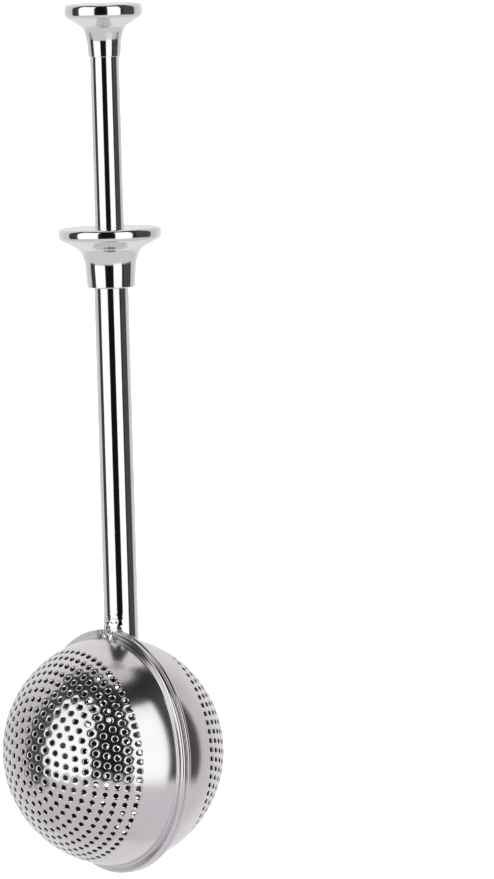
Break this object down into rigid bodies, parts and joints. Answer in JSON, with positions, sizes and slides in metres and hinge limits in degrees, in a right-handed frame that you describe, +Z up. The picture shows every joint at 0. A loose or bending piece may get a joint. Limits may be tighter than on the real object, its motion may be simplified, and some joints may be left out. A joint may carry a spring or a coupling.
{
  "type": "tea infuser",
  "caption": "Push-button ball tea infuser: a split perforated steel ball on a long tube, opened by pressing a thumb knob above a finger collar.",
  "frame": {"origin": "lowest point of the ball's rim, on the plane where the two halves part", "axes": "+Z up along the tubes towards the thumb knob, -Y towards the front half of the ball, +X to its right seen from the front"},
  "size_m": [0.051, 0.0456, 0.1811],
  "materials": {
    "polished_steel": "mirror-polished stainless steel",
    "satin_steel": "satin stainless sheet, pressed and perforated"
  },
  "bodies": {
    "handle": {"outer_tube": "polished_steel", "finger_collar": "polished_steel", "front_half": "satin_steel", "foot_weld": "satin_steel"},
    "plunger": {"thumb_knob": "polished_steel", "push_tube": "polished_steel", "push_tube_plug": "satin_steel", "rear_half": "satin_steel"}
  },
  "joints": [
    {"name": "plunger_slide", "type": "slide", "parent": "handle", "child": "plunger", "axis": [0, 0, -1], "range_m": [0, 0.0352]}
  ]
}
